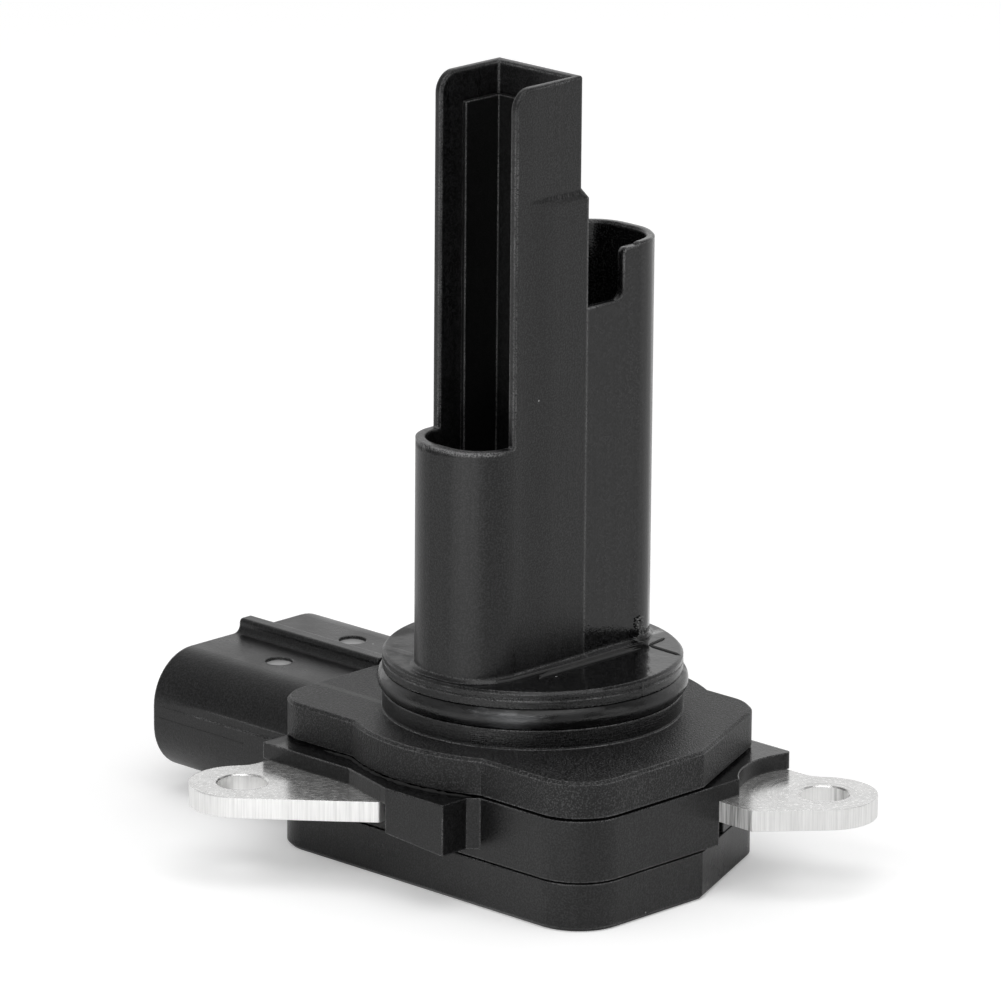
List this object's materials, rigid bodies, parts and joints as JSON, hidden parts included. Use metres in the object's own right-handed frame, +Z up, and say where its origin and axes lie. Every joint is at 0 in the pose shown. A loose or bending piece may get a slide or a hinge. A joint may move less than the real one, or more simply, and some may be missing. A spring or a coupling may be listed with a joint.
{
  "type": "mass airflow sensor",
  "caption": "Plug-in mass airflow sensor: upright probe on a sealed round spigot, stacked base with side connector, and a metal plate whose ears take its screws.",
  "frame": {"origin": "on the spigot's axis, at the underside of the bottom cover", "axes": "+Z runs up the probe, -X is the way the connector points, -Y is the side of the open channel"},
  "size_m": [0.07, 0.047, 0.0763],
  "materials": {
    "housing_plastic": "charcoal black moulded plastic, fine grain on the flange, satin on the probe",
    "case_plastic": "black moulded plastic, smooth satin",
    "cover_plastic": "black moulded plastic, fine grain",
    "plate_aluminium": "bare stamped aluminium with sheared edges",
    "seal_rubber": "black lightly oiled rubber",
    "adhesive": "glossy black cured adhesive",
    "liner_plastic": "black plastic, satin",
    "holder_plastic": "black plastic, satin",
    "film_ceramic": "white ceramic strip with a metal film",
    "bead_resin": "black resin bead",
    "board": "green lacquered circuit board",
    "chip_resin": "black moulded resin",
    "capacitor_ceramic": "tan ceramic",
    "lead_metal": "tin plated metal",
    "terminal_metal": "tin plated metal",
    "ribbon_aluminium": "bright aluminium ribbon"
  },
  "bodies": {
    "root": {"sensor_housing": "housing_plastic", "connector_case": "case_plastic", "bottom_cover": "cover_plastic", "mounting_plate": "plate_aluminium", "seal_ring": "seal_rubber", "upper_seal": "adhesive", "lower_seal": "adhesive", "channel_liner": "liner_plastic", "element_holder": "holder_plastic", "heated_element": "film_ceramic", "reference_element": "film_ceramic", "air_thermistor": "bead_resin", "circuit_board": "board", "control_chip": "chip_resin", "power_transistor": "chip_resin", "bond_ribbons": "ribbon_aluminium", "capacitor_1": "capacitor_ceramic", "capacitor_2": "capacitor_ceramic", "capacitor_3": "capacitor_ceramic", "element_lead_1": "lead_metal", "element_lead_2": "lead_metal", "element_lead_3": "lead_metal", "element_lead_4": "lead_metal", "element_lead_5": "lead_metal", "element_lead_6": "lead_metal", "terminal_1": "terminal_metal", "terminal_2": "terminal_metal", "terminal_3": "terminal_metal", "terminal_4": "terminal_metal", "terminal_5": "terminal_metal"}
  },
  "joints": []
}
